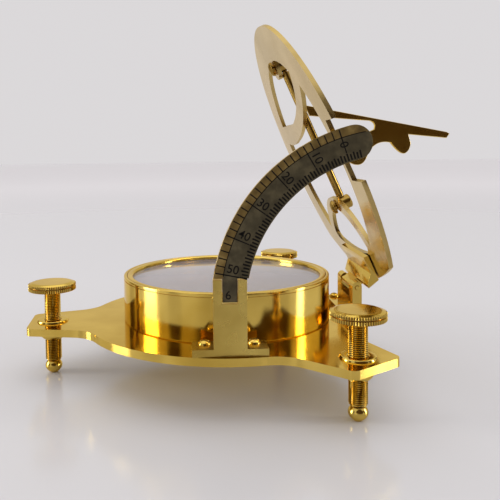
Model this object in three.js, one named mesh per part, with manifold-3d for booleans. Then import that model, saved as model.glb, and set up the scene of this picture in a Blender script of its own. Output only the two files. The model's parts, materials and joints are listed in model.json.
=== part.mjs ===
// Pocket sundial: an equatorial dial with a compass on a three-footed levelling base.
// Millimetres, +Z up. The origin is on the compass axis, at the flat end of the centre
// rivet under the base plate. +X points from the compass to the hour ring's hinge.
import * as THREE from 'three';
import { mergeVertices } from 'three/addons/utils/BufferGeometryUtils.js';
import Module from 'manifold-3d';

const wasm = await Module();
wasm.setup();

const DEG = Math.PI / 180;
const GAP = 0.3; // clear space between neighbours in the tilted hour ring group

// Base plate: a round centre with three lobes.
const PLATE_Z = 1.0;
const PLATE_THICK = 2.6;
const PLATE_RADIUS = 51.7;
const PLATE_TOP = PLATE_Z + PLATE_THICK;
const LOBE_TURN = 183.6; // direction of the first lobe, degrees
const LOBE_END = 71.9;
const LOBE_HALF_WIDTH = 12.5; // at LOBE_MIDDLE; the sides draw in towards the end
const LOBE_MIDDLE = 62;
const LOBE_TAPER = 13.4; // degrees
const LOBE_FILLET = 12;
const LOBE_CORNER = 2.6;
const LOBES = ['left', 'near', 'rear'];

// Levelling screws.
const SCREW_CIRCLE = 64;
const FLOOR_Z = -15.3;
const BUSH_DROP = 3.6;
const THREAD_RADIUS = 2.95;
const HEAD_RADIUS = 8.45;
const HEAD_Z = 14.9;
const HEAD_THICK = 3.1;
const KNURL_TEETH = 48;
const KNURL_DEPTH = 0.3;
const FOOT_RADIUS = 3.0;
const FOOT_TOP = -10.9;
const FOOT_FLAT = 1.2;
const FOOT_PIN_RADIUS = 1.2;
const FOOT_PIN_END = -12.9;

// Compass case and what it holds.
const CASE_RADIUS = 38;
const CASE_TOP = 19.7;
const CASE_FLOOR = 2.0;
const CASE_BORE = 35.6;
const MOUTH_BORE = 36.85;
const GLASS_Z = 17.0;
const GLASS_THICK = 1.5;
const BEZEL_BORE = 34.6;
const DIAL_THICK = 0.8;
const STUD_RADIUS = 1.5;
const NEEDLE_Z = 10.2;
const NEEDLE_LENGTH = 58;
const LEVEL_OFFSET = 24;

// Latitude arc and its fork post, both in planes square to Y.
const ARC_PIN_Y = -48.9;
const ARC_PIN_Z = 20.9;
const ARC_THICK = 1.6;
const ARC_CENTRE_X = 48.15;
const ARC_CENTRE_Z = 17.95;
const ARC_OUTER = 55.85;
const ARC_INNER = 45.4;
const ARC_END = 14.2; // centre of the rounded end, degrees from vertical
const ARC_SHOULDER_Z = 27.0;
const POST_X = -2.0;
const POST_WIDTH = 10.1;
const POST_THICK = 2.8;
const POST_TOP = 26.7;
const SLOT_WIDTH = 4.8;
const SLOT_FLOOR = 19.5;
const TONGUE_WIDTH = 4.5;
const TONGUE_END = 1.0;
const FOOT_STRIP_LENGTH = 23;
const FOOT_STRIP_DEPTH = 8.8;
const FOOT_STRIP_THICK = 2.3;
const ARC_PIN_RADIUS = 0.7;

// Hour ring hinge.
const HINGE_X = 46.65;
const HINGE_Z = 14.9;
const HINGE_PIN_RADIUS = 0.8;
const PIN_CLEARANCE = 0.05;
const RING_LEAN = 24; // lean from vertical towards -X, degrees
const RING_REACH = 46.4; // hinge to ring centre, along the ring
const RING_RISE = 6.95; // hinge to the ring's lower face, square to the ring
const RING_POST_WIDTH = 22.6;
const RING_POST_THICK = 3.4;
const RING_SLOT = 12;
const RING_SLOT_FLOOR = 10.7;
const RING_STRIP_LENGTH = 36;
const RING_STRIP_IN = 41.4;

// Hour ring.
const RING_OUTER = 54.2;
const RING_INNER = 41;
const RING_THICK = 1.5;
const RING_FLAT = -46; // straight cut across the bottom
const RING_FLAT_WIDTH = 26;
const RING_FLAT_ROUND = 36; // the rounded sides of the cut start this far below the centre
const NOTCH_LOW = -5.2;
const NOTCH_HIGH = 15;
const NOTCH_DEPTH = 43.8;

// Hinge block under the ring's bottom edge.
const BLOCK_LOW = -45.6;
const BLOCK_STEP = -41;
const BLOCK_HIGH = -35;
const BLOCK_THICK = 4.4;
const LEAF_THICK = 1.7;
const BLOCK_NEAR = -20; // the block's two ends along the hinge
const BLOCK_FAR = 11;
const LUG_RADIUS = 1.6;
const LUG_WIDTH = 11.4;

// Gnomon and its swivel bar, which runs up the ring on its upper side.
const BAR_TOP = 38.3;
const BAR_BOTTOM = -18.2;
const BAR_HEIGHT = 3.2; // bar axis above the ring's lower face
const BAR_RADIUS = 1.4;
const JOURNAL_RADIUS = 0.9;
const PIVOT_RADIUS = 2.6;
const GNOMON_THICK = 1.6;

const BRASS = { color: 0xc9a344, roughness: 0.25, metalness: 1 };
const PALE_BRASS = { color: 0xd2bd84, roughness: 0.25, metalness: 1 };
const BLACKENED = { color: 0x4a3f25, roughness: 0.45, metalness: 0.8 };
const STEEL = { color: 0x8a8d92, roughness: 0.3, metalness: 1 };
const GLASS = { color: 0xdfe6e8, roughness: 0.05, metalness: 0, transparent: true, opacity: 0.3 };
const CARD = { color: 0xe9e2cf, roughness: 0.7, metalness: 0 };

const sundial = new THREE.Group();

// ---------- helpers ----------

function solid(geometry) {
  const bare = new THREE.BufferGeometry();
  const source = geometry.index ? geometry.toNonIndexed() : geometry;
  bare.setAttribute('position', source.getAttribute('position').clone());
  const merged = mergeVertices(bare, 1e-4);
  const triangles = [];
  const index = merged.index.array;
  for (let i = 0; i < index.length; i += 3) {
    const [a, b, c] = [index[i], index[i + 1], index[i + 2]];
    if (a !== b && b !== c && c !== a) triangles.push(a, b, c);
  }
  return new wasm.Manifold(new wasm.Mesh({
    numProp: 3,
    vertProperties: new Float32Array(merged.getAttribute('position').array),
    triVerts: new Uint32Array(triangles),
  }));
}

function surface(manifold) {
  const mesh = manifold.getMesh();
  const geometry = new THREE.BufferGeometry();
  geometry.setAttribute('position', new THREE.BufferAttribute(mesh.vertProperties, 3));
  geometry.setIndex(new THREE.BufferAttribute(mesh.triVerts, 1));
  return geometry;
}

function cut(body, ...tools) {
  return tools.reduce((left, tool) => left.subtract(solid(tool)), body);
}

function join(...geometries) {
  return geometries.map(solid).reduce((sum, next) => sum.add(next));
}

function add(parent, name, geometry, finish, [x, y, z] = [0, 0, 0]) {
  const shape = geometry.getMesh ? surface(geometry) : geometry;
  const mesh = new THREE.Mesh(shape, new THREE.MeshStandardMaterial(finish));
  mesh.name = name;
  mesh.position.set(x, y, z);
  parent.add(mesh);
  return mesh;
}

function turned(profile, segments = 48) {
  const points = profile.map(([radius, z]) => new THREE.Vector2(radius, z));
  const geometry = new THREE.LatheGeometry(points, segments);
  geometry.rotateX(Math.PI / 2); // the lathe's Y axis becomes Z
  return geometry;
}

function block(x0, x1, y0, y1, z0, z1) {
  const geometry = new THREE.BoxGeometry(x1 - x0, y1 - y0, z1 - z0);
  geometry.translate((x0 + x1) / 2, (y0 + y1) / 2, (z0 + z1) / 2);
  return geometry;
}

function rod(radius, from, to, axis, segments = 24) {
  const geometry = new THREE.CylinderGeometry(radius, radius, to - from, segments);
  geometry.translate(0, (from + to) / 2, 0);
  if (axis === 'x') geometry.rotateZ(-Math.PI / 2);
  if (axis === 'z') geometry.rotateX(Math.PI / 2);
  return geometry;
}

function plate(shape, z0, z1, curveSegments = 24) {
  const options = { depth: z1 - z0, bevelEnabled: false, curveSegments };
  const geometry = new THREE.ExtrudeGeometry(shape, options);
  geometry.translate(0, 0, z0);
  return geometry;
}

// An outline drawn in X and Z, made solid between two values of Y.
function uprightPlate(shape, y0, y1, curveSegments = 24) {
  const geometry = plate(shape, -y1, -y0, curveSegments);
  geometry.rotateX(Math.PI / 2);
  return geometry;
}

function roundScrew(radius, height, shankRadius, shankLength) {
  return turned([
    [0, -shankLength],
    [shankRadius, -shankLength],
    [shankRadius, 0],
    [radius, 0],
    [radius * 0.94, height * 0.5],
    [radius * 0.7, height * 0.86],
    [0, height],
  ], 24);
}

function lobePlace(lobe) {
  const angle = (LOBE_TURN + lobe * 120) * DEG;
  return [SCREW_CIRCLE * Math.cos(angle), SCREW_CIRCLE * Math.sin(angle), 0];
}

// ---------- base ----------

// One lobe, pointing along X. Its sides taper and run into the round of the plate.
function lobeShape() {
  const taper = LOBE_TAPER * DEG;
  const [normalX, normalY] = [Math.sin(taper), Math.cos(taper)];
  const reach = LOBE_MIDDLE * normalX + LOBE_HALF_WIDTH * normalY;
  const across = reach + LOBE_FILLET;
  const along = Math.sqrt((PLATE_RADIUS + LOBE_FILLET) ** 2 - across ** 2);
  const filletX = across * normalX + along * normalY;
  const filletY = across * normalY - along * normalX;
  const meet = Math.atan2(filletY, filletX);
  const cornerX = LOBE_END - LOBE_CORNER;
  const cornerY = (reach - LOBE_CORNER - cornerX * normalX) / normalY;
  const shape = new THREE.Shape();
  shape.moveTo(PLATE_RADIUS * 0.5, 0);
  shape.lineTo(PLATE_RADIUS * Math.cos(meet), -PLATE_RADIUS * Math.sin(meet));
  shape.absarc(filletX, -filletY, LOBE_FILLET, Math.PI - meet, Math.PI / 2 + taper, true);
  shape.absarc(cornerX, -cornerY, LOBE_CORNER, taper - Math.PI / 2, 0, false);
  shape.absarc(cornerX, cornerY, LOBE_CORNER, 0, Math.PI / 2 - taper, false);
  shape.absarc(filletX, filletY, LOBE_FILLET, -Math.PI / 2 - taper, meet - Math.PI, true);
  shape.lineTo(PLATE_RADIUS * 0.5, 0);
  return shape;
}

function basePlate() {
  let body = solid(rod(PLATE_RADIUS, PLATE_Z, PLATE_TOP, 'z', 96));
  for (let lobe = 0; lobe < LOBES.length; lobe += 1) {
    const arm = plate(lobeShape(), PLATE_Z, PLATE_TOP, 8);
    arm.rotateZ((LOBE_TURN + lobe * 120) * DEG);
    body = body.add(solid(arm));
    const hole = rod(4.3, PLATE_Z - 1, PLATE_TOP + 1, 'z');
    hole.translate(...lobePlace(lobe));
    body = cut(body, hole);
  }
  return cut(body, rod(STUD_RADIUS + PIN_CLEARANCE, PLATE_Z - 1, PLATE_TOP + 1, 'z'));
}

function screwBush() {
  const bore = THREAD_RADIUS + PIN_CLEARANCE;
  return turned([
    [bore, PLATE_Z - BUSH_DROP],
    [3.5, PLATE_Z - BUSH_DROP],
    [4.4, PLATE_Z - BUSH_DROP + 0.9],
    [4.9, PLATE_Z - BUSH_DROP + 2.2],
    [4.9, PLATE_Z],
    [4.25, PLATE_Z],
    [4.25, PLATE_TOP],
    [5.6, PLATE_TOP],
    [5.3, PLATE_TOP + 0.8],
    [bore, PLATE_TOP + 0.8],
    [bore, PLATE_Z - BUSH_DROP],
  ], 32);
}

function knurledHead() {
  const shape = new THREE.Shape();
  const step = Math.PI / KNURL_TEETH;
  for (let i = 0; i < KNURL_TEETH * 2; i += 1) {
    const radius = i % 2 ? HEAD_RADIUS - KNURL_DEPTH : HEAD_RADIUS;
    const [x, y] = [radius * Math.cos(i * step), radius * Math.sin(i * step)];
    if (i === 0) shape.moveTo(x, y);
    else shape.lineTo(x, y);
  }
  shape.closePath();
  return plate(shape, HEAD_Z, HEAD_Z + HEAD_THICK - 0.6);
}

function levellingScrew() {
  const top = HEAD_Z + HEAD_THICK;
  const shank = turned([
    [0, FOOT_PIN_END],
    [FOOT_PIN_RADIUS, FOOT_PIN_END],
    [FOOT_PIN_RADIUS, FOOT_TOP + 0.2],
    [THREAD_RADIUS, FOOT_TOP + 0.6],
    [THREAD_RADIUS, HEAD_Z + 1],
    [HEAD_RADIUS - 0.6, HEAD_Z + 1],
    [HEAD_RADIUS - 0.6, top - 0.6],
    [HEAD_RADIUS - 1.4, top],
    [0, top],
  ], 32);
  return join(shank, knurledHead());
}

function levellingFoot() {
  const socket = FOOT_PIN_RADIUS + PIN_CLEARANCE;
  const centre = FLOOR_Z + 2.6;
  const profile = [[0, FLOOR_Z], [FOOT_FLAT, FLOOR_Z]];
  for (const angle of [-50, -30, -10, 10, 30]) {
    profile.push([FOOT_RADIUS * Math.cos(angle * DEG), centre + 2.6 * Math.sin(angle * DEG)]);
  }
  profile.push([2.1, FOOT_TOP], [socket, FOOT_TOP], [socket, FOOT_PIN_END - 0.1], [0, FOOT_PIN_END - 0.1]);
  return turned(profile, 32);
}

function addBase() {
  add(sundial, 'base_plate', basePlate(), BRASS);
  for (let lobe = 0; lobe < LOBES.length; lobe += 1) {
    const place = lobePlace(lobe);
    add(sundial, `screw_bush_${LOBES[lobe]}`, screwBush(), BRASS, place);
    add(sundial, `levelling_screw_${LOBES[lobe]}`, levellingScrew(), BRASS, place);
    add(sundial, `levelling_foot_${LOBES[lobe]}`, levellingFoot(), BRASS, place);
  }
}

// ---------- compass ----------

function centreRivet() {
  return turned([
    [0, 0],
    [4.5, 0],
    [4.5, PLATE_Z],
    [STUD_RADIUS, PLATE_Z],
    [STUD_RADIUS, PLATE_TOP + CASE_FLOOR + DIAL_THICK],
    [0, PLATE_TOP + CASE_FLOOR + DIAL_THICK],
  ], 32);
}

function compassCase() {
  const floorTop = PLATE_TOP + CASE_FLOOR;
  return turned([
    [STUD_RADIUS + PIN_CLEARANCE, PLATE_TOP],
    [CASE_RADIUS, PLATE_TOP],
    [CASE_RADIUS, CASE_TOP - 0.4],
    [CASE_RADIUS - 0.4, CASE_TOP],
    [MOUTH_BORE, CASE_TOP],
    [MOUTH_BORE, GLASS_Z],
    [CASE_BORE, GLASS_Z],
    [CASE_BORE, floorTop],
    [STUD_RADIUS + PIN_CLEARANCE, floorTop],
    [STUD_RADIUS + PIN_CLEARANCE, PLATE_TOP],
  ], 96);
}

function bezelRing() {
  const low = GLASS_Z + GLASS_THICK;
  const outer = MOUTH_BORE - 0.1;
  return turned([
    [BEZEL_BORE, low],
    [outer, low],
    [outer, CASE_TOP - 0.2],
    [outer - 0.4, CASE_TOP],
    [BEZEL_BORE + 0.5, CASE_TOP],
    [BEZEL_BORE, CASE_TOP - 0.5],
    [BEZEL_BORE, low],
  ], 96);
}

function compassDial() {
  const low = PLATE_TOP + CASE_FLOOR;
  return turned([
    [STUD_RADIUS + 0.2, low],
    [CASE_BORE - 0.3, low],
    [CASE_BORE - 0.3, low + DIAL_THICK],
    [STUD_RADIUS + 0.2, low + DIAL_THICK],
    [STUD_RADIUS + 0.2, low],
  ], 64);
}

function needlePivot() {
  const seat = PLATE_TOP + CASE_FLOOR + DIAL_THICK;
  return turned([
    [0, seat],
    [1.3, seat],
    [0.7, seat + 1],
    [0.45, NEEDLE_Z - 0.6],
    [0, NEEDLE_Z + 0.6],
  ], 16);
}

function compassNeedle() {
  const half = NEEDLE_LENGTH / 2;
  const shape = new THREE.Shape();
  shape.moveTo(half, 0);
  shape.lineTo(0, 2.9);
  shape.lineTo(-half, 0);
  shape.lineTo(0, -2.9);
  shape.closePath();
  const eye = new THREE.Path();
  eye.absarc(0, 0, 1.65, 0, 2 * Math.PI, true);
  shape.holes.push(eye);
  return plate(shape, NEEDLE_Z, NEEDLE_Z + 0.5, 12);
}

function needleCap() {
  return turned([
    [0, NEEDLE_Z + 0.8],
    [0.8, NEEDLE_Z - 0.3],
    [1.5, NEEDLE_Z - 0.3],
    [1.5, NEEDLE_Z + 0.6],
    [1.9, NEEDLE_Z + 0.6],
    [1.3, NEEDLE_Z + 1.4],
    [0, NEEDLE_Z + 1.7],
  ], 24);
}

function levelHolder() {
  const low = PLATE_TOP + CASE_FLOOR + DIAL_THICK;
  const body = solid(block(-9, 9, -2.4, 2.4, low, low + 3.2));
  const channel = rod(1.5, -7.3, 7.3, 'x');
  channel.translate(0, 0, low + 1.9);
  return cut(body, channel, block(-5.5, 5.5, -1.4, 1.4, low + 1.9, low + 4));
}

function levelVial() {
  const geometry = rod(1.4, -7.2, 7.2, 'x');
  geometry.translate(0, 0, PLATE_TOP + CASE_FLOOR + DIAL_THICK + 1.9);
  return geometry;
}

function addCompass() {
  add(sundial, 'centre_rivet', centreRivet(), BRASS);
  add(sundial, 'compass_case', compassCase(), BRASS);
  add(sundial, 'compass_glass', rod(MOUTH_BORE - 0.15, GLASS_Z, GLASS_Z + GLASS_THICK, 'z', 64), GLASS);
  add(sundial, 'bezel_ring', bezelRing(), BRASS);
  add(sundial, 'compass_dial', compassDial(), CARD);
  add(sundial, 'needle_pivot', needlePivot(), STEEL);
  add(sundial, 'compass_needle', compassNeedle(), STEEL);
  add(sundial, 'needle_cap', needleCap(), BRASS);
  for (const [name, angle] of [['across', 0], ['along', 90]]) {
    for (const [piece, shape, finish] of [['level_holder', levelHolder(), BRASS], ['level_vial', levelVial(), GLASS]]) {
      const mesh = add(sundial, `${piece}_${name}`, shape, finish);
      mesh.rotation.z = angle * DEG;
      mesh.position.set(-LEVEL_OFFSET * Math.sin(angle * DEG), -LEVEL_OFFSET * Math.cos(angle * DEG), 0);
    }
  }
}

// ---------- latitude arc ----------

function arcPost() {
  const half = POST_WIDTH / 2;
  const strip = FOOT_STRIP_LENGTH / 2;
  const front = ARC_PIN_Y - POST_THICK / 2;
  const back = ARC_PIN_Y + POST_THICK / 2;
  const stripTop = PLATE_TOP + FOOT_STRIP_THICK;
  const body = join(
    block(-half, half, front, back, PLATE_TOP, POST_TOP),
    block(-strip, strip, front, front + FOOT_STRIP_DEPTH, PLATE_TOP, stripTop),
  );
  const slot = block(-SLOT_WIDTH / 2, SLOT_WIDTH / 2, front - 1, back + 1, SLOT_FLOOR, POST_TOP + 1);
  const pinHole = rod(ARC_PIN_RADIUS + PIN_CLEARANCE, -half - 1, half + 1, 'x');
  pinHole.translate(0, ARC_PIN_Y, ARC_PIN_Z);
  return cut(body, slot, pinHole);
}

function latitudeArc() {
  const low = ARC_SHOULDER_Z - ARC_CENTRE_Z;
  const middle = (ARC_OUTER + ARC_INNER) / 2;
  const endAngle = Math.PI / 2 + ARC_END * DEG;
  const shape = new THREE.Shape();
  shape.moveTo(-Math.sqrt(ARC_OUTER ** 2 - low ** 2), low);
  shape.absarc(0, 0, ARC_OUTER, Math.PI - Math.asin(low / ARC_OUTER), endAngle, true);
  const [tipX, tipZ] = [middle * Math.cos(endAngle), middle * Math.sin(endAngle)];
  shape.absarc(tipX, tipZ, (ARC_OUTER - ARC_INNER) / 2, endAngle, endAngle - Math.PI, true);
  shape.absarc(0, 0, ARC_INNER, endAngle, Math.PI - Math.asin(low / ARC_INNER), false);
  shape.closePath();
  const bow = uprightPlate(shape, ARC_PIN_Y - ARC_THICK / 2, ARC_PIN_Y + ARC_THICK / 2, 40);
  bow.translate(ARC_CENTRE_X, 0, ARC_CENTRE_Z);

  const tongue = new THREE.Shape();
  const half = TONGUE_WIDTH / 2;
  tongue.moveTo(POST_X - half, ARC_SHOULDER_Z + 1);
  tongue.lineTo(POST_X - half, ARC_PIN_Z - TONGUE_END);
  tongue.lineTo(POST_X + half, ARC_PIN_Z - TONGUE_END);
  tongue.lineTo(POST_X + half, ARC_SHOULDER_Z + 1);
  tongue.closePath();
  const tail = uprightPlate(tongue, ARC_PIN_Y - ARC_THICK / 2, ARC_PIN_Y + ARC_THICK / 2);
  const pinHole = rod(ARC_PIN_RADIUS + PIN_CLEARANCE, -POST_WIDTH, POST_WIDTH, 'x');
  pinHole.translate(0, ARC_PIN_Y, ARC_PIN_Z);
  return cut(join(bow, tail), pinHole);
}

function addLatitudeArc() {
  add(sundial, 'arc_post', arcPost(), BRASS, [POST_X, 0, 0]);
  const screwY = ARC_PIN_Y + POST_THICK / 2 + 3.2;
  for (const [name, side] of [['left', -1], ['right', 1]]) {
    const place = [POST_X + side * 7.6, screwY, PLATE_TOP + FOOT_STRIP_THICK];
    add(sundial, `arc_post_screw_${name}`, roundScrew(2.0, 1.4, 0, 0), BRASS, place);
  }
  add(sundial, 'latitude_arc', latitudeArc(), BLACKENED);
  const pin = rod(ARC_PIN_RADIUS, -POST_WIDTH / 2 - 0.3, POST_WIDTH / 2 + 0.3, 'x');
  add(sundial, 'arc_hinge_pin', pin, BRASS, [POST_X, ARC_PIN_Y, ARC_PIN_Z]);
}

// ---------- hour ring hinge ----------

function ringPost() {
  const half = RING_POST_WIDTH / 2;
  const strip = RING_STRIP_LENGTH / 2;
  const [inside, outside] = [HINGE_X - RING_POST_THICK / 2, HINGE_X + RING_POST_THICK / 2];
  const roundZ = HINGE_Z + 0.45;
  const top = rod(RING_POST_THICK / 2, -half, half, 'y');
  top.translate(HINGE_X, 0, roundZ);
  const body = join(
    block(inside, outside, -half, half, PLATE_TOP, roundZ),
    top,
    block(RING_STRIP_IN, outside, -strip, strip, PLATE_TOP, PLATE_TOP + FOOT_STRIP_THICK),
  );
  const slot = block(inside - 1, outside + 1, -RING_SLOT / 2, RING_SLOT / 2, RING_SLOT_FLOOR, roundZ + 5);
  const pinHole = rod(HINGE_PIN_RADIUS + PIN_CLEARANCE, -half - 1, half + 1, 'y');
  pinHole.translate(HINGE_X, 0, HINGE_Z);
  return cut(body, slot, pinHole);
}

// A leaf that lies on the ring, stepped out to a thick foot that carries the lug.
function hingeBlock() {
  const face = RING_RISE - GAP;
  const leaf = face - LEAF_THICK;
  const inner = face - BLOCK_THICK;
  const [low, step, high] = [BLOCK_LOW, BLOCK_STEP, BLOCK_HIGH].map((along) => RING_REACH + along);
  const bar = new THREE.Shape();
  bar.moveTo(low, inner);
  bar.lineTo(low + 1.2, inner);
  bar.lineTo(step, leaf);
  bar.lineTo(high, leaf);
  bar.lineTo(high, face);
  bar.lineTo(low + 1.2, face);
  bar.closePath();
  const lug = new THREE.Shape();
  lug.moveTo(LUG_RADIUS, inner + 1);
  lug.lineTo(-LUG_RADIUS + 0.4, inner + 1);
  lug.lineTo(-LUG_RADIUS, 0);
  lug.absarc(0, 0, LUG_RADIUS, Math.PI, 2 * Math.PI, false);
  lug.closePath();
  // Both outlines are drawn with the ring's direction as X and its normal as Y.
  const pieces = [plate(bar, BLOCK_NEAR, BLOCK_FAR), plate(lug, -LUG_WIDTH / 2, LUG_WIDTH / 2)];
  const placing = new THREE.Matrix4().set(
    0, 0, 1, 0,
    1, 0, 0, 0,
    0, 1, 0, 0,
    0, 0, 0, 1,
  );
  for (const piece of pieces) {
    piece.applyMatrix4(placing);
  }
  const pinHole = rod(HINGE_PIN_RADIUS + PIN_CLEARANCE, -LUG_WIDTH, LUG_WIDTH, 'x');
  return cut(join(...pieces), pinHole);
}

// ---------- hour ring ----------

// The outline is drawn with its centre at 0,0: X along the hinge, Y away from it.
function ringOutline() {
  const side = Math.sqrt(RING_OUTER ** 2 - RING_FLAT_ROUND ** 2);
  const half = RING_FLAT_WIDTH / 2;
  const angle = Math.asin(RING_FLAT_ROUND / RING_OUTER);
  const shape = new THREE.Shape();
  shape.moveTo(-half, RING_FLAT);
  shape.lineTo(half, RING_FLAT);
  shape.quadraticCurveTo(30, RING_FLAT + 5.2, side, -RING_FLAT_ROUND);
  shape.absarc(0, 0, RING_OUTER, -angle, Math.PI + angle, false);
  shape.quadraticCurveTo(-30, RING_FLAT + 5.2, -half, RING_FLAT);
  return shape;
}

// Upper opening: the round of the ring, a level edge and a curved arm.
function upperOpening() {
  const [armX, armY] = [-23, Math.sqrt(RING_INNER ** 2 - 23 ** 2)];
  const levelY = 16;
  const levelX = Math.sqrt(RING_INNER ** 2 - levelY ** 2);
  const hole = new THREE.Shape();
  hole.moveTo(levelX, levelY);
  hole.absarc(0, 0, RING_INNER, Math.atan2(levelY, levelX), Math.atan2(armY, armX), false);
  hole.quadraticCurveTo(-17, 21, 13, levelY);
  hole.closePath();
  return hole;
}

// Middle opening, between the curved arm and the lower arch.
function middleOpening(archCentre, archOuter) {
  const levelY = 8;
  const levelX = Math.sqrt(RING_INNER ** 2 - levelY ** 2);
  const [armX, armY] = [-29.6, Math.sqrt(RING_INNER ** 2 - 29.6 ** 2)];
  const meetY = (RING_INNER ** 2 - archOuter ** 2 + archCentre ** 2) / (2 * archCentre);
  const meetX = Math.sqrt(RING_INNER ** 2 - meetY ** 2);
  const hole = new THREE.Shape();
  hole.moveTo(levelX, levelY);
  hole.quadraticCurveTo(30, 6.5, 22, 8.4);
  hole.quadraticCurveTo(-14, 13.5, armX, armY);
  hole.absarc(0, 0, RING_INNER, Math.atan2(armY, armX), Math.atan2(meetY, -meetX) + 2 * Math.PI, false);
  const archAngle = Math.atan2(meetY - archCentre, meetX);
  hole.absarc(0, archCentre, archOuter, Math.PI - archAngle, archAngle, true);
  hole.absarc(0, 0, RING_INNER, Math.atan2(meetY, meetX), Math.atan2(levelY, levelX), false);
  return hole;
}

// Lower opening: under the arch, with a nearly level lower edge.
function lowerOpening(archCentre, archInner) {
  const [cornerX, cornerY] = [22.5, -31.6];
  const archAngle = Math.atan2(cornerY - archCentre, cornerX);
  const [sideX, sideY] = [archInner * Math.cos(archAngle), archCentre + archInner * Math.sin(archAngle)];
  const hole = new THREE.Shape();
  hole.moveTo(sideX, sideY);
  hole.absarc(0, archCentre, archInner, archAngle, Math.PI - archAngle, false);
  hole.quadraticCurveTo(-sideX + 0.6, -34.2, -sideX + 6, -34.8);
  hole.quadraticCurveTo(0, -37.2, sideX - 6, -34.8);
  hole.quadraticCurveTo(sideX - 0.6, -34.2, sideX, sideY);
  return hole;
}

function hourRing() {
  const archCentre = -46.3;
  const [archInner, archOuter] = [26.9, 31.7];
  const tab = rod(4.6, 0, RING_THICK, 'z');
  tab.translate(0, BAR_TOP, 0);
  const openings = [
    upperOpening(),
    middleOpening(archCentre, archOuter),
    lowerOpening(archCentre, archInner),
  ].map((shape) => plate(shape, -1, RING_THICK + 1, 16));
  const notch = block(-RING_OUTER - 1, -NOTCH_DEPTH, NOTCH_LOW, NOTCH_HIGH, -1, RING_THICK + 1);
  let body = cut(solid(plate(ringOutline(), 0, RING_THICK, 32)), ...openings, notch);
  body = body.add(solid(tab));
  for (const y of [BAR_TOP, BAR_BOTTOM]) {
    const hole = rod(1.3, -1, RING_THICK + 1, 'z');
    hole.translate(0, y, 0);
    body = cut(body, hole);
  }
  return body;
}

// A pivot: round head below the ring, stem through it, and a drilled eye above it.
function gnomonPivot() {
  const body = solid(turned([
    [0, -2.0],
    [1.5, -1.8],
    [2.5, -1.2],
    [2.7, -GAP],
    [1.2, -GAP],
    [1.2, RING_THICK + GAP],
    [PIVOT_RADIUS, RING_THICK + GAP],
    [PIVOT_RADIUS, 5.7],
    [PIVOT_RADIUS - 0.4, 6.1],
    [0, 6.1],
  ], 32));
  const eye = rod(JOURNAL_RADIUS + PIN_CLEARANCE, -5, 5, 'y');
  eye.translate(0, 0, BAR_HEIGHT);
  return cut(body, eye);
}

function gnomonBar() {
  const [low, high] = [BAR_BOTTOM + PIVOT_RADIUS + GAP, BAR_TOP - PIVOT_RADIUS - GAP];
  return turned([
    [0, BAR_BOTTOM - 1],
    [JOURNAL_RADIUS, BAR_BOTTOM - 1],
    [JOURNAL_RADIUS, low],
    [BAR_RADIUS, low],
    [BAR_RADIUS, high],
    [JOURNAL_RADIUS, high],
    [JOURNAL_RADIUS, BAR_TOP + 1],
    [0, BAR_TOP + 1],
  ], 24);
}

// The gnomon, drawn with X away from the bar axis and Y along it. It meets the bar
// at its head and its heel; the bar itself closes the window between them.
function gnomonShape() {
  const root = BAR_RADIUS + GAP;
  const styleTop = (x) => 22.4 - 0.7 * x;
  const shape = new THREE.Shape();
  shape.moveTo(root, styleTop(root));
  shape.lineTo(root, 16.9);
  shape.lineTo(9.4, 12.5);
  shape.lineTo(21.6, 5.8);
  shape.quadraticCurveTo(23.6, 4.0, 21.8, 2.2);
  shape.quadraticCurveTo(16.4, 2.6, 12.6, -1.0);
  shape.quadraticCurveTo(8.4, 4.4, root, 3.2);
  shape.lineTo(root, -3.2);
  shape.quadraticCurveTo(5.6, -1.6, 8.2, -5.2);
  shape.quadraticCurveTo(11.2, -9.4, 14.7, -6.4);
  shape.quadraticCurveTo(19.8, -0.9, 25.4, -4.9);
  shape.quadraticCurveTo(26.9, -10.9, 28.8, -10.9);
  shape.quadraticCurveTo(31.0, -10.7, 32.2, -8.4);
  shape.lineTo(32.8, -4.9);
  shape.lineTo(45.5, -12.2);
  shape.lineTo(47.2, -11.2);
  shape.lineTo(46.4, styleTop(46.4));
  shape.closePath();
  return shape;
}

function gnomon() {
  const geometry = plate(gnomonShape(), -GNOMON_THICK / 2, GNOMON_THICK / 2, 10);
  geometry.applyMatrix4(new THREE.Matrix4().set(
    0, 0, -1, 0,
    0, 1, 0, 0,
    1, 0, 0, BAR_HEIGHT,
    0, 0, 0, 1,
  ));
  return geometry;
}

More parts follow.
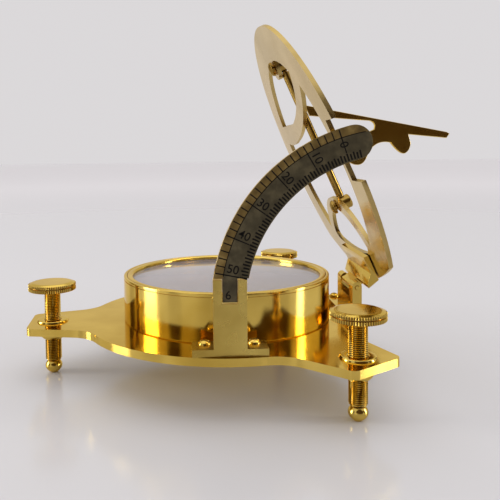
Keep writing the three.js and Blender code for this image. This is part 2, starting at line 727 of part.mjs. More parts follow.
function addHourRing() {
  add(sundial, 'ring_post', ringPost(), BRASS);
  const pinHalf = RING_POST_WIDTH / 2 + 0.4;
  add(sundial, 'ring_hinge_pin', rod(HINGE_PIN_RADIUS, -pinHalf, pinHalf, 'y'), BRASS, [HINGE_X, 0, HINGE_Z]);
  for (const [name, side] of [['front', -1], ['rear', 1]]) {
    const place = [RING_STRIP_IN + 3, side * 14.8, PLATE_TOP + FOOT_STRIP_THICK];
    add(sundial, `ring_post_screw_${name}`, roundScrew(1.9, 1.4, 0, 0), BRASS, place);
  }

  // Axes of the tilted group: X along the hinge, Y up the ring, Z its upper side.
  const lean = RING_LEAN * DEG;
  const hinge = new THREE.Group();
  hinge.position.set(HINGE_X, 0, HINGE_Z);
  hinge.quaternion.setFromRotationMatrix(new THREE.Matrix4().makeBasis(
    new THREE.Vector3(0, 1, 0),
    new THREE.Vector3(-Math.sin(lean), 0, Math.cos(lean)),
    new THREE.Vector3(Math.cos(lean), 0, Math.sin(lean)),
  ));
  sundial.add(hinge);
  add(hinge, 'ring_hinge_block', hingeBlock(), BRASS);

  const ring = new THREE.Group();
  ring.position.set(0, RING_REACH, RING_RISE);
  hinge.add(ring);
  add(ring, 'hour_ring', hourRing(), PALE_BRASS);
  add(ring, 'gnomon_pivot_top', gnomonPivot(), BRASS, [0, BAR_TOP, 0]);
  add(ring, 'gnomon_pivot_bottom', gnomonPivot(), BRASS, [0, BAR_BOTTOM, 0]);
  const bar = gnomonBar();
  bar.rotateX(-Math.PI / 2);
  add(ring, 'gnomon_bar', bar, BRASS, [0, 0, BAR_HEIGHT]);
  add(ring, 'gnomon', gnomon(), BRASS);
}

addBase();
addCompass();
addLatitudeArc();
addHourRing();

export default sundial;
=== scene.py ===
"""Pocket sundial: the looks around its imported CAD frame. Blender 4.5, metres, +Z up.

Lengths are named in millimetres where they repeat the part's own dimensions, and mm() turns them to metres.
"""

import json
import math

import bmesh
import bpy
from mathutils import Matrix, Vector


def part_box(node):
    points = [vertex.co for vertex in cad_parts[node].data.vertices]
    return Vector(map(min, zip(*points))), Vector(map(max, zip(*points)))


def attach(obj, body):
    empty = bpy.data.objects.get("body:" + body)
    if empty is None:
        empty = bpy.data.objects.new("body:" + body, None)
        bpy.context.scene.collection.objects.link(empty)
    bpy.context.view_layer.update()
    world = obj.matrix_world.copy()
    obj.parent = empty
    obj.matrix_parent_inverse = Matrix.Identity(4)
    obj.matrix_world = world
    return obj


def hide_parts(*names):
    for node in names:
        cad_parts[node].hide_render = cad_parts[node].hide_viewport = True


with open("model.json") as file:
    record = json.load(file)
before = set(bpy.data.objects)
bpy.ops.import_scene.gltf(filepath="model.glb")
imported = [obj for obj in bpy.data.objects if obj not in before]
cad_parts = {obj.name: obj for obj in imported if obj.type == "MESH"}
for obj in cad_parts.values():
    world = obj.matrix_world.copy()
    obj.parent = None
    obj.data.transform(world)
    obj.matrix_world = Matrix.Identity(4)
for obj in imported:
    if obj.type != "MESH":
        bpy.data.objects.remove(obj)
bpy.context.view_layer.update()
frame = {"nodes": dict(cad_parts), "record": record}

BODY_OF = {node: body for body, nodes in frame["record"]["behaviour"]["bodies"].items() for node in nodes}
LOBES = ("left", "near", "rear")

# Places and sizes from the part, in millimetres.
FLOOR_Z = -15.3
PLATE_LOW = 1.0
PLATE_TOP = 3.6
CASE_RADIUS = 38
CASE_TOP = 19.7
CASE_BORE = 35.6
CASE_HOLE = 1.55
MOUTH_BORE = 36.85
SEAM_Z = 18.6
GLASS_Z = 17.0
GLASS_TOP = 18.5
BEZEL_BORE = 34.6
DIAL_LOW = 5.6
DIAL_TOP = 6.4
DIAL_RADIUS = 35.3
DIAL_HOLE = 1.7
HEAD_RADIUS = 8.45
HEAD_LOW = 14.9
HEAD_TOP = 18.0
THREAD_RADIUS = 2.95
THREAD_PITCH = 0.6
THREAD_LOW = -10.5
ARC_FACE_Y = -49.7
ARC_CENTRE = (48.15, 17.95)
ARC_OUTER = 55.85
ARC_INNER = 45.4
ARC_BAND = 52.93
ARC_ZERO = 18.25
DEGREES_PER_TEN = 12.11
NUMERAL_HEIGHT = 3.7
POST_X = -2.0
RING_LEAN = 24
INK_THICK = 0.03
FACE_ON = 0.9  # a face counts as looking along a direction when its normal's share of it is over this


def mm(*values):
    """Millimetres to metres: one number, or several as a tuple."""
    metres = tuple(v / 1000 for v in values)
    return metres[0] if len(metres) == 1 else metres


# ---------- materials ----------


def shader(name):
    """A new material with its node tree's parts at hand."""
    material = bpy.data.materials.new(name)
    material.use_nodes = True
    nodes, links = material.node_tree.nodes, material.node_tree.links
    return material, nodes, links, nodes["Principled BSDF"]


def noise(nodes, links, scale, detail=4.0, stretch=(1, 1, 1)):
    """Noise fixed to the object, stretched along its axes for brushed and turned finishes."""
    place = nodes.new("ShaderNodeTexCoord")
    mapping = nodes.new("ShaderNodeMapping")
    mapping.inputs["Scale"].default_value = stretch
    links.new(place.outputs["Object"], mapping.inputs["Vector"])
    texture = nodes.new("ShaderNodeTexNoise")
    texture.inputs["Scale"].default_value = scale
    texture.inputs["Detail"].default_value = detail
    links.new(mapping.outputs["Vector"], texture.inputs["Vector"])
    return texture.outputs["Fac"]


def ramp(nodes, links, value, stops):
    """A colour that runs through the stops, each a position and a colour."""
    node = nodes.new("ShaderNodeValToRGB")
    while len(node.color_ramp.elements) < len(stops):
        node.color_ramp.elements.new(0.5)
    for element, (position, color) in zip(node.color_ramp.elements, stops):
        element.position = position
        element.color = (*color, 1)
    links.new(value, node.inputs["Fac"])
    return node.outputs["Color"]


def remap(nodes, links, value, source, target=(0, 1), smooth=False):
    """A number of the source range, carried over to the target range."""
    node = nodes.new("ShaderNodeMapRange")
    if smooth:
        node.interpolation_type = "SMOOTHSTEP"
    for name, number in zip(("From Min", "From Max", "To Min", "To Max"), (*source, *target)):
        node.inputs[name].default_value = number
    links.new(value, node.inputs["Value"])
    return node.outputs["Result"]


def spread(nodes, links, value, low, high):
    """A noise, which stays mostly between 0.3 and 0.7, stretched to run from low to high."""
    return remap(nodes, links, value, (0.3, 0.7), (low, high))


def vector_step(nodes, links, operation, source, value=None):
    """One step of vector arithmetic, on a source and a constant."""
    node = nodes.new("ShaderNodeVectorMath")
    node.operation = operation
    links.new(source, node.inputs[0])
    if value:
        node.inputs[1].default_value = value
    return node.outputs["Value" if operation == "LENGTH" else "Vector"]


def bump(nodes, links, value, strength, distance, bsdf):
    node = nodes.new("ShaderNodeBump")
    node.inputs["Strength"].default_value = strength
    node.inputs["Distance"].default_value = distance
    links.new(value, node.inputs["Height"])
    links.new(node.outputs["Normal"], bsdf.inputs["Normal"])


def metal(name, dark, light, rough, bump_strength, stretch=(1, 1, 1), tint=(1, 1, 1)):
    """Polished metal: slow colour drift of tarnish, smudged roughness and fine hairlines."""
    material, nodes, links, bsdf = shader(name)
    drift = noise(nodes, links, 45, 3)
    links.new(ramp(nodes, links, drift, [(0.35, dark), (0.65, light)]), bsdf.inputs["Base Color"])
    bsdf.inputs["Metallic"].default_value = 1
    bsdf.inputs["Specular Tint"].default_value = (*tint, 1)
    smudge = noise(nodes, links, 160, 6)
    links.new(spread(nodes, links, smudge, *rough), bsdf.inputs["Roughness"])
    hairlines = noise(nodes, links, 900, 3, stretch)
    bump(nodes, links, hairlines, bump_strength, 0.00004, bsdf)
    return material


def blackened_face():
    """Chemically darkened brass. The outer band, past the scale line, is rubbed back to a warmer brown."""
    material, nodes, links, bsdf = shader("blackened_face")
    patches = noise(nodes, links, 260, 9)
    field = ramp(nodes, links, patches,
                 [(0.3, (0.05, 0.04, 0.02)), (0.5, (0.08, 0.065, 0.034)), (0.72, (0.135, 0.11, 0.058))])
    band = ramp(nodes, links, patches,
                [(0.3, (0.11, 0.068, 0.017)), (0.55, (0.2, 0.13, 0.036)), (0.75, (0.34, 0.24, 0.08))])
    place = nodes.new("ShaderNodeTexCoord")
    centre = mm(ARC_CENTRE[0], 0, ARC_CENTRE[1])
    shift = vector_step(nodes, links, "SUBTRACT", place.outputs["Object"], centre)
    flat = vector_step(nodes, links, "MULTIPLY", shift, (1, 0, 1))
    radius = vector_step(nodes, links, "LENGTH", flat)
    outside = remap(nodes, links, radius, mm(ARC_BAND - 0.1, ARC_BAND + 0.3))
    blend = nodes.new("ShaderNodeMix")
    blend.data_type = "RGBA"
    color_a, color_b, mixed = blend.inputs[6], blend.inputs[7], blend.outputs[2]
    links.new(outside, blend.inputs["Factor"])
    links.new(field, color_a)
    links.new(band, color_b)
    links.new(mixed, bsdf.inputs["Base Color"])
    bsdf.inputs["Metallic"].default_value = 0.35
    bsdf.inputs["Specular IOR Level"].default_value = 0.3
    links.new(spread(nodes, links, patches, 0.5, 0.36), bsdf.inputs["Roughness"])
    bump(nodes, links, noise(nodes, links, 1500, 4), 0.35, 0.00003, bsdf)
    return material


def ink():
    """Matt black wax that fills the engraving."""
    material, nodes, links, bsdf = shader("engraving_black")
    grain = noise(nodes, links, 1200, 3)
    links.new(ramp(nodes, links, grain, [(0.3, (0.004, 0.0035, 0.003)), (0.7, (0.012, 0.01, 0.008))]),
              bsdf.inputs["Base Color"])
    bsdf.inputs["Roughness"].default_value = 0.8
    bsdf.inputs["Specular IOR Level"].default_value = 0.1
    return material


def glass():
    """A clear sheet with a faint haze of dust, more mirror than window at a low angle."""
    material, nodes, links, bsdf = shader("clear_glass")
    haze = noise(nodes, links, 70, 5)
    links.new(ramp(nodes, links, haze, [(0.3, (0.49, 0.46, 0.47)), (0.7, (0.53, 0.495, 0.505))]),
              bsdf.inputs["Base Color"])
    slant = nodes.new("ShaderNodeLayerWeight")
    slant.inputs["Blend"].default_value = 0.5
    cover = remap(nodes, links, slant.outputs["Facing"], (0.35, 0.85), (0.14, 0.68))
    links.new(cover, bsdf.inputs["Alpha"])
    links.new(spread(nodes, links, haze, 0.04, 0.08), bsdf.inputs["Roughness"])
    bsdf.inputs["IOR"].default_value = 1.5
    return material


def vial_fluid():
    """The yellow-green spirit of the two levels."""
    material, nodes, links, bsdf = shader("level_spirit")
    drift = noise(nodes, links, 120, 2)
    links.new(ramp(nodes, links, drift, [(0.3, (0.62, 0.78, 0.25)), (0.7, (0.72, 0.86, 0.36))]),
              bsdf.inputs["Base Color"])
    bsdf.inputs["Transmission Weight"].default_value = 0.8
    bsdf.inputs["Roughness"].default_value = 0.06
    return material


def silvered():
    """Silver rubbed onto brass: pale, half metallic and faintly grained."""
    material, nodes, links, bsdf = shader("silvered_dial")
    grain = noise(nodes, links, 500, 6)
    links.new(ramp(nodes, links, grain, [(0.3, (0.62, 0.6, 0.58)), (0.7, (0.74, 0.72, 0.7))]),
              bsdf.inputs["Base Color"])
    bsdf.inputs["Metallic"].default_value = 0.55
    links.new(spread(nodes, links, grain, 0.34, 0.46), bsdf.inputs["Roughness"])
    bump(nodes, links, noise(nodes, links, 2200, 2), 0.2, 0.00002, bsdf)
    return material


def floor_paint():
    """Glossy pale grey close to the object, fading to a duller white further out."""
    material, nodes, links, bsdf = shader("floor_paint")
    place = nodes.new("ShaderNodeTexCoord")
    radius = vector_step(nodes, links, "LENGTH", place.outputs["Object"])
    fade_metres = (0.3, 1.4)
    fade = remap(nodes, links, radius, fade_metres, smooth=True)
    near_color, far_color = (0.66, 0.65, 0.66), (0.96, 0.94, 0.95)
    links.new(ramp(nodes, links, fade, [(0.0, near_color), (1.0, far_color)]), bsdf.inputs["Base Color"])
    links.new(remap(nodes, links, fade, (0, 1), (0.17, 0.6)), bsdf.inputs["Roughness"])
    bsdf.inputs["IOR"].default_value = 1.5
    return material


# Metals: dark and light colour, roughness range, hairline strength and direction, and the tint of reflections
# at a low angle.
WARM = (1, 0.88, 0.6)
BRASS = metal("polished_brass", (0.60, 0.40, 0.07), (0.78, 0.56, 0.13), (0.07, 0.16), 0.12,
              (1, 1, 12), WARM)
EDGE = metal("ring_edge_brass", (0.38, 0.27, 0.09), (0.56, 0.42, 0.17), (0.2, 0.34), 0.2, tint=WARM)
# Darker tarnished brass of the gnomon's bar and pivots, also used as painted shade in the levelling screws'
# thread roots and knurl valleys.
AGED_AND_SHADE = metal("aged_and_shade_brass", (0.24, 0.14, 0.03), (0.46, 0.3, 0.07), (0.12, 0.26), 0.05, tint=WARM)
WORN = metal("worn_brass", (0.50, 0.34, 0.07), (0.74, 0.56, 0.15), (0.22, 0.4), 0.5, tint=WARM)
PALE = metal("pale_brass", (0.54, 0.41, 0.17), (0.70, 0.55, 0.27), (0.10, 0.2), 0.12,
             (1, 10, 1), (1, 0.93, 0.8))
STEEL = metal("bright_steel", (0.5, 0.5, 0.52), (0.68, 0.68, 0.7), (0.15, 0.28), 0.1)
BLUED = metal("blued_steel", (0.02, 0.03, 0.12), (0.05, 0.07, 0.22), (0.18, 0.3), 0.1)
BLACKENED = blackened_face()
INK = ink()
GLASS = glass()
SPIRIT = vial_fluid()
SILVERED = silvered()


# ---------- making pieces ----------


def piece(name, bm, materials, node=None, body=None, sharp=35):
    """A finished mesh that rides on its body and, where a node is named, stands for that node."""
    bmesh.ops.recalc_face_normals(bm, faces=bm.faces)
    mesh = bpy.data.meshes.new(name)
    bm.to_mesh(mesh)
    bm.free()
    for material in materials:
        mesh.materials.append(material)
    mesh.shade_smooth()
    mesh.set_sharp_from_angle(angle=math.radians(sharp))
    made = bpy.data.objects.new(name, mesh)
    bpy.context.scene.collection.objects.link(made)
    if node:
        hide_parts(node)
        body = BODY_OF[node]
    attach(made, body)
    return made


def refined(node, bevel, materials, paint=None):
    """The CAD node's own shape as a clean mesh with rounded edges; paint(face) picks a face's material."""
    bm = bmesh.new()
    bm.from_mesh(frame["nodes"][node].data)
    bmesh.ops.remove_doubles(bm, verts=bm.verts, dist=mm(0.004))
    bmesh.ops.dissolve_limit(bm, angle_limit=math.radians(0.8), verts=bm.verts, edges=bm.edges)
    for face in bm.faces:
        face.normal_update()
        face.material_index = paint(face) if paint else 0
    made = piece(node + "_fine", bm, materials, node)
    if bevel:
        rounding = made.modifiers.new("rounded_edges", "BEVEL")
        rounding.width = mm(bevel)
        rounding.segments = 3
        rounding.limit_method = "ANGLE"
        rounding.angle_limit = math.radians(35)
        rounding.use_clamp_overlap = True
        rounding.harden_normals = True
    return made


def lathe(bm, profile, centre=(0, 0), segments=160, material=0):
    """Turns a closed profile of (radius, z) in millimetres about the vertical through centre."""
    rings = []
    for radius, z in profile:
        if radius < 1e-6:
            rings.append([bm.verts.new(mm(centre[0], centre[1], z))] * segments)
            continue
        ring = []
        for i in range(segments):
            angle = 2 * math.pi * i / segments
            x = centre[0] + radius * math.cos(angle)
            y = centre[1] + radius * math.sin(angle)
            ring.append(bm.verts.new(mm(x, y, z)))
        rings.append(ring)
    closed = profile[0][0] > 1e-6
    count = len(rings) if closed else len(rings) - 1
    for k in range(count):
        lower, upper = rings[k], rings[(k + 1) % len(rings)]
        for i in range(segments):
            j = (i + 1) % segments
            corners = list(dict.fromkeys([lower[i], lower[j], upper[j], upper[i]]))
            if len(corners) > 2:
                bm.faces.new(corners).material_index = material


def rounded(points, radius, steps=3):
    """A profile with each marked corner (radius, z, True) turned into a small round."""
    made = []
    count = len(points)
    for i, point in enumerate(points):
        if len(point) < 3:
            made.append(point)
            continue
        corner = Vector(point[:2])
        before = Vector(points[i - 1][:2]) - corner
        after = Vector(points[(i + 1) % count][:2]) - corner
        reach = min(radius, before.length * 0.45, after.length * 0.45)
        start = corner + before.normalized() * reach
        end = corner + after.normalized() * reach
        for s in range(steps + 1):
            t = s / steps
            made.append(tuple((1 - t) ** 2 * start + 2 * t * (1 - t) * corner + t ** 2 * end))
    return made


def node_centre(node):
    """The middle of a node's box, seen from above, in millimetres."""
    low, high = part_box(node)
    return ((low.x + high.x) * 500, (low.y + high.y) * 500)


# ---------- base ----------


def threaded_rod(bm, centre, low, high, sides=40, rows_per_pitch=8):
    """A real helical thread: the radius follows the angle and the height together."""
    depth, lead_in, shade_line = 0.36, 0.25, 0.45
    rows = int((high - low) / THREAD_PITCH * rows_per_pitch)
    grid = []
    for k in range(rows + 1):
        z = low + (high - low) * k / rows
        fade = min(1, k / rows_per_pitch)
        ring = []
        for i in range(sides):
            phase = (z / THREAD_PITCH - i / sides) % 1
            radius = THREAD_RADIUS - depth * abs(2 * phase - 1) - lead_in * (1 - fade)
            angle = 2 * math.pi * i / sides
            x = centre[0] + radius * math.cos(angle)
            y = centre[1] + radius * math.sin(angle)
            ring.append(bm.verts.new(mm(x, y, z)))
        grid.append(ring)
    for k, (lower, upper) in enumerate(zip(grid, grid[1:])):
        z = low + (high - low) * (k + 0.5) / rows
        for i in range(sides):
            j = (i + 1) % sides
            phase = (z / THREAD_PITCH - (i + 0.5) / sides) % 1
            face = bm.faces.new((lower[i], lower[j], upper[j], upper[i]))
            # Painted shade: faces near the thread's root take the second, darker material.
            face.material_index = 1 if abs(2 * phase - 1) > shade_line else 0
    bm.faces.new(reversed(grid[0]))
    bm.faces.new(grid[-1])


def knurled_head(bm, centre, teeth=66):
    """A head with two straight-knurled bands, a groove between them and a rounded crown.

    Each row of the band holds a height, how far it is set in, and the share of the full knurl there.
    """
    tooth, groove_inset = 0.3, 0.55
    band = [
        (HEAD_LOW, 0.75, 0), (HEAD_LOW + 0.12, 0.25, 0.5), (HEAD_LOW + 0.3, 0.0, 1),
        (HEAD_LOW + 1.35, 0.0, 1), (HEAD_LOW + 1.45, 0.3, 0.4), (HEAD_LOW + 1.5, groove_inset, 0),
        (HEAD_LOW + 1.7, groove_inset, 0), (HEAD_LOW + 1.75, 0.3, 0.4), (HEAD_LOW + 1.85, 0.0, 1),
        (HEAD_LOW + 2.5, 0.0, 1), (HEAD_LOW + 2.65, 0.25, 0.5), (HEAD_TOP - 0.3, 0.8, 0),
        (HEAD_TOP - 0.08, 1.3, 0), (HEAD_TOP, 1.9, 0),
        (HEAD_TOP, 2.1, 0), (HEAD_TOP, 2.4, 0),
    ]
    sides = teeth * 4
    rings = []
    for z, inset, depth in band:
        ring = []
        for i in range(sides):
            valley = (0, 0.5, 1, 0.5)[i % 4]
            radius = HEAD_RADIUS - inset - tooth * depth * valley
            angle = 2 * math.pi * i / sides
            x = centre[0] + radius * math.cos(angle)
            y = centre[1] + radius * math.sin(angle)
            ring.append(bm.verts.new(mm(x, y, z)))
        rings.append(ring)
    for k, (lower, upper) in enumerate(zip(rings, rings[1:])):
        knurled = band[k][2] and band[k + 1][2]
        groove = band[k][1] == band[k + 1][1] == groove_inset
        for i in range(sides):
            j = (i + 1) % sides
            face = bm.faces.new((lower[i], lower[j], upper[j], upper[i]))
            # Painted shade: the groove and the knurl's valley faces take the second, darker material.
            face.material_index = 1 if groove or (knurled and i % 4 in (1, 2)) else 0
    bm.faces.new(reversed(rings[0]))
    bm.faces.new(rings[-1])


def levelling_screw(lobe):
    """Thread and head in one turned piece, with painted shade in the thread's root and in the knurl's valleys
    and groove.
    """
    node = "levelling_screw_" + lobe
    centre = node_centre(node)
    bm = bmesh.new()
    threaded_rod(bm, centre, THREAD_LOW, HEAD_LOW + 0.02)
    knurled_head(bm, centre)
    piece(node + "_fine", bm, [BRASS, AGED_AND_SHADE], node, sharp=20)


def levelling_foot(lobe):
    """A rounded pad with a socket in its top for the screw's pin."""
    node = "levelling_foot_" + lobe
    ball_radius, ball_rise = 3.0, 2.6
    socket, socket_low, top = 1.3, -12.9, -10.95
    profile = [(0, FLOOR_Z), (1.2, FLOOR_Z)]
    for degrees in range(-58, 39, 8):
        angle = math.radians(degrees)
        profile.append((ball_radius * math.cos(angle), FLOOR_Z + ball_rise * (1 + math.sin(angle))))
    profile += [(2.3, top - 0.05), (2.25, top), (socket, top), (socket, socket_low), (0, socket_low)]
    bm = bmesh.new()
    lathe(bm, profile, node_centre(node), 64)
    piece(node + "_fine", bm, [BRASS], node)


def screw_bush(lobe):
    """A collar above the plate, a shank through it and a domed boss below."""
    node = "screw_bush_" + lobe
    bore, shank, boss, collar = 3.0, 4.25, 4.9, 5.6
    low, high = -2.6, 4.4
    profile = rounded([
        (bore, low), (3.5, low), (4.4, -1.7, True), (boss, -0.4, True), (boss, PLATE_LOW),
        (shank, PLATE_LOW), (shank, PLATE_TOP), (collar, PLATE_TOP), (collar, PLATE_TOP + 0.1),
        (collar - 0.3, high, True), (bore + 0.3, high, True), (bore, high - 0.2),
    ], 0.35)
    bm = bmesh.new()
    lathe(bm, profile, node_centre(node), 96)
    piece(node + "_fine", bm, [BRASS], node)


def base():
    refined("base_plate", 0.3, [BRASS])
    for lobe in LOBES:
        levelling_screw(lobe)
        levelling_foot(lobe)
        screw_bush(lobe)
    refined("centre_rivet", 0.25, [BRASS])


# ---------- compass ----------


def case():
    """Spun cup with a seam a millimetre under its rim, and the glass and its bezel in its mouth."""
    seam = CASE_RADIUS - 0.28
    profile = rounded([
        (CASE_HOLE, PLATE_TOP), (CASE_RADIUS - 0.3, PLATE_TOP), (CASE_RADIUS, PLATE_TOP + 0.3, True),
        (CASE_RADIUS, SEAM_Z - 0.15), (seam, SEAM_Z - 0.08),
        (seam, SEAM_Z + 0.08), (CASE_RADIUS, SEAM_Z + 0.15),
        (CASE_RADIUS, CASE_TOP, True), (MOUTH_BORE, CASE_TOP, True), (MOUTH_BORE, GLASS_Z),
        (CASE_BORE, GLASS_Z, True), (CASE_BORE, DIAL_LOW + 0.3, True), (CASE_BORE - 0.4, DIAL_LOW),
        (CASE_HOLE, DIAL_LOW),
    ], 0.3)
    bm = bmesh.new()
    lathe(bm, profile, segments=256)
    piece("compass_case_fine", bm, [BRASS], "compass_case")
    outer, top = MOUTH_BORE - 0.1, CASE_TOP - 0.02
    profile = rounded([
        (BEZEL_BORE, GLASS_TOP), (outer, GLASS_TOP), (outer, top, True), (BEZEL_BORE + 0.5, top, True),
        (BEZEL_BORE, CASE_TOP - 0.5, True),
    ], 0.25)
    bm = bmesh.new()
    lathe(bm, profile, segments=256)
    piece("bezel_ring_fine", bm, [BRASS], "bezel_ring")
    outer, low, high = MOUTH_BORE - 0.15, GLASS_Z + 0.02, GLASS_TOP - 0.02
    profile = rounded([(0, low), (outer, low, True), (outer, high, True), (0, high)], 0.12)
    bm = bmesh.new()
    lathe(bm, profile, segments=192)
    piece("compass_glass_fine", bm, [GLASS], "compass_glass")


def raised(bm, outline, z, thick, material):
    """A thin flat figure on the dial, from an outline in millimetres."""
    lower = [bm.verts.new(mm(x, y, z)) for x, y in outline]
    upper = [bm.verts.new(mm(x, y, z + thick)) for x, y in outline]
    count = len(outline)
    faces = [bm.faces.new(reversed(lower)), bm.faces.new(upper)]
    for i in range(count):
        j = (i + 1) % count
        faces.append(bm.faces.new((lower[i], lower[j], upper[j], upper[i])))
    for face in faces:
        face.material_index = material


def turn(points, angle):
    """The outline turned about the dial's centre."""
    c, s = math.cos(angle), math.sin(angle)
    return [(x * c - y * s, x * s + y * c) for x, y in points]


def dial():
    """Silvered plate with a degree scale, two fine rings and an eight-pointed rose, all in low relief."""
    bm = bmesh.new()
    sides, chamfer = 192, 0.1
    plate = [
        (DIAL_HOLE, DIAL_LOW), (DIAL_RADIUS - chamfer, DIAL_LOW), (DIAL_RADIUS, DIAL_LOW + chamfer),
        (DIAL_RADIUS, DIAL_TOP - chamfer), (DIAL_RADIUS - chamfer, DIAL_TOP), (DIAL_HOLE, DIAL_TOP),
    ]
    lathe(bm, plate, segments=sides)
    outer = 33.0
    for step in range(72):
        inner, half = (29.2, 0.16) if step % 6 == 0 else (31.0, 0.09)
        mark = [(inner, -half), (outer, -half), (outer, half), (inner, half)]
        raised(bm, turn(mark, math.radians(step * 5)), DIAL_TOP, INK_THICK, 1)
    line, ink_top = 0.18, DIAL_TOP + INK_THICK
    for radius in (28.6, 33.4):
        ring = [(radius, DIAL_TOP), (radius + line, DIAL_TOP), (radius + line, ink_top), (radius, ink_top)]
        lathe(bm, ring, segments=sides, material=1)
    for order, reach, waist in ((1, 15.5, 3.0), (0, 20.5, 3.6)):
        for k in range(4):
            angle = math.radians(90 * k + 45 * order)
            for side, shade in ((1, 1), (-1, 2)):
                point = [(2.2, 0), (waist, side * waist * 0.72), (reach, 0)]
                if side < 0:
                    point.reverse()
                raised(bm, turn(point, angle), DIAL_TOP, INK_THICK * (1.5 - 0.5 * order), shade)
    piece("compass_dial_fine", bm, [SILVERED, INK, BRASS], "compass_dial")


def needle():
    """A blued half and a bright half, meeting at the bearing."""
    bm = bmesh.new()
    low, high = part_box("compass_needle")
    reach, width = high.x * 1000, high.y * 1000
    thick = (high.z - low.z) * 1000
    hole, slant, split = 1.7, 1.2, 0.05
    for side, material in ((1, 0), (-1, 1)):
        outline = [
            (side * hole, 0), (side * slant, slant), (side * split, hole), (side * split, width),
            (side * reach, 0), (side * split, -width), (side * split, -hole), (side * slant, -slant),
        ]
        raised(bm, outline, low.z * 1000, thick, material)
    piece("compass_needle_fine", bm, [BLUED, STEEL], "compass_needle")
    refined("needle_cap", 0.1, [BRASS])
    refined("needle_pivot", 0.0, [STEEL])


def compass():
    case()
    dial()
    needle()
    for way in ("across", "along"):
        refined("level_holder_" + way, 0.2, [BRASS])
        refined("level_vial_" + way, 0.25, [SPIRIT])


# ---------- latitude arc ----------


def on_arc(radius, degrees):
    """Point on the arc's face, as X and Z in millimetres; degrees run down the arc from the vertical."""
    angle = math.radians(90 + degrees)
    return ARC_CENTRE[0] + radius * math.cos(angle), ARC_CENTRE[1] + radius * math.sin(angle)


def inlay(bm, outline):
    """A filled engraving: a thin plate from an X-Z outline, just proud of the face that looks to -Y."""
    back = [bm.verts.new(mm(x, ARC_FACE_Y + 0.02, z)) for x, z in outline]
    front = [bm.verts.new(mm(x, ARC_FACE_Y - INK_THICK, z)) for x, z in outline]
    count = len(outline)
    bm.faces.new(back)
    bm.faces.new(reversed(front))
    for i in range(count):
        j = (i + 1) % count
        bm.faces.new((back[i], front[i], front[j], back[j]))


def radial_mark(bm, degrees, inner, outer, width):
    """A straight line across the arc."""
    half = math.degrees(width / 2 / ((inner + outer) / 2))
    inlay(bm, [on_arc(inner, degrees - half), on_arc(outer, degrees - half),
               on_arc(outer, degrees + half), on_arc(inner, degrees + half)])


def curved_line(bm, radius, start, end, width, steps=48):
    """A line along the arc, from one angle to the other."""
    for k in range(steps):
        a = start + (end - start) * k / steps
        b = start + (end - start) * (k + 1) / steps
        outer = radius + width
        inlay(bm, [on_arc(radius, a), on_arc(outer, a), on_arc(outer, b), on_arc(radius, b)])


def arc_scale():
    """Degree lines: a coarse band outside, a heavy comb along the inner edge, and numerals' room between."""
    bm = bmesh.new()
    tens_inner, long_tooth, short_tooth = 48.3, 2.7, 2.3
    first, last = 10.2, ARC_ZERO + 5.05 * DEGREES_PER_TEN
    for unit in range(0, 52, 2):
        at = ARC_ZERO + unit / 10 * DEGREES_PER_TEN
        inner = tens_inner if unit % 10 == 0 else ARC_BAND
        radial_mark(bm, at, inner, ARC_OUTER - 0.3, 0.36)
    for unit in range(-4, 52):
        at = ARC_ZERO + unit / 10 * DEGREES_PER_TEN
        tooth = long_tooth if unit % 2 == 0 else short_tooth
        radial_mark(bm, at, ARC_INNER + 0.45, ARC_INNER + tooth, 0.5)
    curved_line(bm, ARC_BAND, first, last, 0.26)
    piece("arc_scale", bm, [INK], body="arc")


def numeral(text, x, z, turn_degrees, name):
    """A filled numeral on the face that looks to -Y, as a mesh."""
    curve = bpy.data.curves.new(name, "FONT")
    curve.body = text
    curve.size = mm(NUMERAL_HEIGHT)
    curve.extrude = mm(0.02)
    curve.offset = mm(0.02)
    curve.align_x = "CENTER"
    curve.align_y = "CENTER"
    curve.resolution_u = 4
    made = bpy.data.objects.new(name, curve)
    bpy.context.scene.collection.objects.link(made)
    upright = Matrix.Rotation(math.pi / 2, 4, "X")
    roll = Matrix.Rotation(math.radians(-turn_degrees), 4, "Y")
    made.matrix_world = Matrix.Translation(mm(x, ARC_FACE_Y - 0.015, z)) @ roll @ upright
    bpy.context.view_layer.update()
    mesh = bpy.data.meshes.new_from_object(made)
    mesh.transform(made.matrix_world)
    bpy.data.objects.remove(made)
    return mesh


def arc_numerals():
    """Latitudes in tens beside their long lines (the first on its line), and a 6 at the arc's foot."""
    bm = bmesh.new()
    for tens in range(6):
        radius, before_line = (50.6, 2.15) if tens else (50.9, 0.0)
        at = ARC_ZERO + tens * DEGREES_PER_TEN - before_line
        x, z = on_arc(radius, at)
        bm.from_mesh(numeral(str(tens * 10), x, z, at - 90, f"numeral_{tens}"))
    foot_x, foot_z = POST_X - 0.55, 21.95
    bm.from_mesh(numeral("6", foot_x, foot_z, 0, "numeral_6"))
    piece("arc_numerals", bm, [INK], body="arc")


def latitude_arc():
    refined("latitude_arc", 0.12, [BRASS, BLACKENED],
            lambda face: 1 if face.normal.y < -FACE_ON else 0)
    arc_scale()
    arc_numerals()
    refined("arc_post", 0.25, [WORN])
    refined("arc_hinge_pin", 0.1, [BRASS])
    for side in ("left", "right"):
        domed_screw("arc_post_screw_" + side)


def domed_screw(node):
    """A round-headed screw with its slot pressed flat across the dome."""
    low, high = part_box(node)
    centre = node_centre(node)
    radius, z0, z1 = (high.x - low.x) * 500, low.z * 1000, high.z * 1000
    rise = z1 - z0
    slot_half, slot_z = 0.32, z0 + 0.5 * rise
    profile = [(0, z0), (radius, z0)]
    for step in range(1, 9):
        angle = math.radians(90 * step / 9)
        profile.append((radius * math.cos(angle), z0 + rise * math.sin(angle)))
    profile.append((0, z1))
    bm = bmesh.new()
    lathe(bm, profile, centre, 40)
    for vert in bm.verts:
        across = abs(vert.co.y * 1000 - centre[1])
        if across < slot_half and vert.co.z * 1000 > slot_z:
            vert.co.z = mm(slot_z)
    piece(node + "_fine", bm, [BRASS], node)


# ---------- hour ring ----------


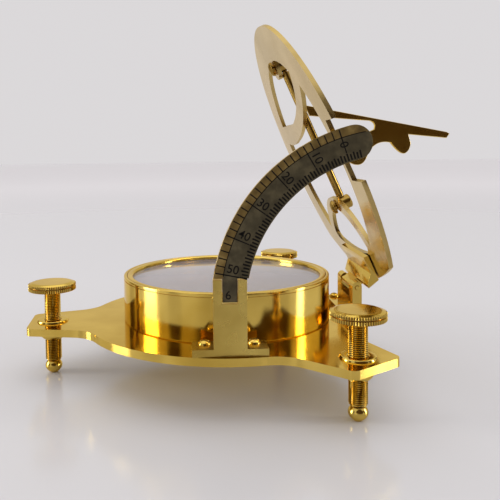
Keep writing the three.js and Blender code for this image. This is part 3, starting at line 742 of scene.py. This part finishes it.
def hour_ring():
    """The ring's post, hinge and block, the ring, and the gnomon in its pivots."""
    refined("ring_post", 0.25, [BRASS])
    refined("ring_hinge_pin", 0.15, [BRASS])
    for side in ("front", "rear"):
        domed_screw("ring_post_screw_" + side)
    refined("ring_hinge_block", 0.18, [BRASS])
    lean = math.radians(RING_LEAN)
    square = Vector((math.cos(lean), 0, math.sin(lean)))
    refined("hour_ring", 0.2, [PALE, EDGE],
            lambda face: 0 if abs(face.normal.dot(square)) > FACE_ON else 1)
    for end in ("top", "bottom"):
        refined("gnomon_pivot_" + end, 0.15, [AGED_AND_SHADE])
    refined("gnomon_bar", 0.1, [AGED_AND_SHADE])
    refined("gnomon", 0.18, [BRASS])


# ---------- stage, light and camera ----------


def sheet(name, width, height, material):
    """A flat rectangle in metres, centred on its own origin."""
    bm = bmesh.new()
    for x, y in ((-1, -1), (1, -1), (1, 1), (-1, 1)):
        bm.verts.new((x * width / 2, y * height / 2, 0))
    bm.faces.new(bm.verts[:])
    mesh = bpy.data.meshes.new(name)
    bm.to_mesh(mesh)
    bm.free()
    mesh.materials.append(material)
    made = bpy.data.objects.new(name, mesh)
    bpy.context.scene.collection.objects.link(made)
    return made


def turned_to(made, centre, direction):
    """Places an object and turns its own +Z along the direction."""
    made.location = centre
    made.rotation_mode = "QUATERNION"
    made.rotation_quaternion = direction.to_track_quat("Z", "Y")


def stage():
    side = 8.0
    floor = sheet("floor", side, side, floor_paint())
    floor.location.z = mm(FLOOR_Z)


def flag(name, centre, width, height, facing, color):
    """A dark card with soft edges that only reflections see, for the brown bands in polished brass."""
    material, nodes, links, bsdf = shader(name)
    bsdf.inputs["Base Color"].default_value = (*color, 1)
    bsdf.inputs["Roughness"].default_value = 0.9
    place = nodes.new("ShaderNodeTexCoord")
    scaled = vector_step(nodes, links, "MULTIPLY", place.outputs["Object"], (2 / width, 2 / height, 0))
    outward = vector_step(nodes, links, "LENGTH", scaled)
    links.new(remap(nodes, links, outward, (0.72, 1.0), (1, 0), smooth=True), bsdf.inputs["Alpha"])
    card = sheet(name, width, height, material)
    turned_to(card, centre, Vector(facing) - Vector(centre))
    card.visible_camera = False
    card.visible_diffuse = False
    card.visible_shadow = False


def lamp(name, centre, target, width, height, power, color=(1, 1, 1)):
    """A soft rectangular light that shines at its target."""
    light = bpy.data.lights.new(name, "AREA")
    light.shape = "RECTANGLE"
    light.size, light.size_y = width, height
    light.energy = power
    light.color = color
    made = bpy.data.objects.new(name, light)
    turned_to(made, centre, Vector(centre) - Vector(target))
    bpy.context.scene.collection.objects.link(made)


def light():
    """An even pale world, three soft lamps and five dark cards, all in metres."""
    world = bpy.data.worlds.new("studio")
    bpy.context.scene.world = world
    world.use_nodes = True
    background = world.node_tree.nodes["Background"]
    background.inputs["Color"].default_value = (0.71, 0.69, 0.70, 1)
    background.inputs["Strength"].default_value = 1.0
    middle = (0, 0, 0.02)
    lamp("top", (-0.1, 0.1, 0.9), middle, 1.3, 1.3, 3.0)
    lamp("window_left", (-0.75, 0.02, 0.16), middle, 0.24, 0.32, 2.4, (1, 0.99, 0.96))
    lamp("window_right", (0.75, -0.12, 0.16), middle, 0.12, 0.32, 1.6, (1, 0.99, 0.96))
    brown = (0.065, 0.034, 0.012)
    flag("flag_front", (0.2, -0.85, 0.45), 1.9, 1.2, (0.2, 0, 0.4), brown)
    flag("flag_left", (-0.72, -0.42, 0.2), 0.28, 0.5, middle, brown)
    flag("flag_right", (0.68, -0.42, 0.2), 0.28, 0.5, middle, brown)
    flag("flag_far_left", (-0.62, 0.5, 0.2), 0.22, 0.5, middle, brown)
    flag("flag_far_right", (0.66, 0.42, 0.2), 0.26, 0.5, middle, brown)


def camera():
    """A normal lens, nearly level, a little to the left of the object's middle."""
    data = bpy.data.cameras.new("camera")
    data.sensor_width = 36
    data.lens = 45.64
    data.shift_x = 0.0724
    data.shift_y = -0.1386
    data.clip_start, data.clip_end = 0.01, 20
    made = bpy.data.objects.new("camera", data)
    bpy.context.scene.collection.objects.link(made)
    place = mm(-14.63, -235.64, 65.08)
    yaw, pitch, roll = 0.044, -0.0478, -0.0113
    forward = Vector((math.sin(yaw) * math.cos(pitch), math.cos(yaw) * math.cos(pitch), math.sin(pitch)))
    right = forward.cross(Vector((0, 0, 1))).normalized()
    up = right.cross(forward)
    right, up = (math.cos(roll) * right + math.sin(roll) * up, math.cos(roll) * up - math.sin(roll) * right)
    turned = Matrix((right, up, -forward)).transposed().to_4x4()
    made.matrix_world = Matrix.Translation(place) @ turned
    bpy.context.scene.camera = made


base()
compass()
latitude_arc()
hour_ring()
stage()
light()
camera()
bpy.context.scene.view_settings.view_transform = "Standard"

bpy.context.view_layer.update()
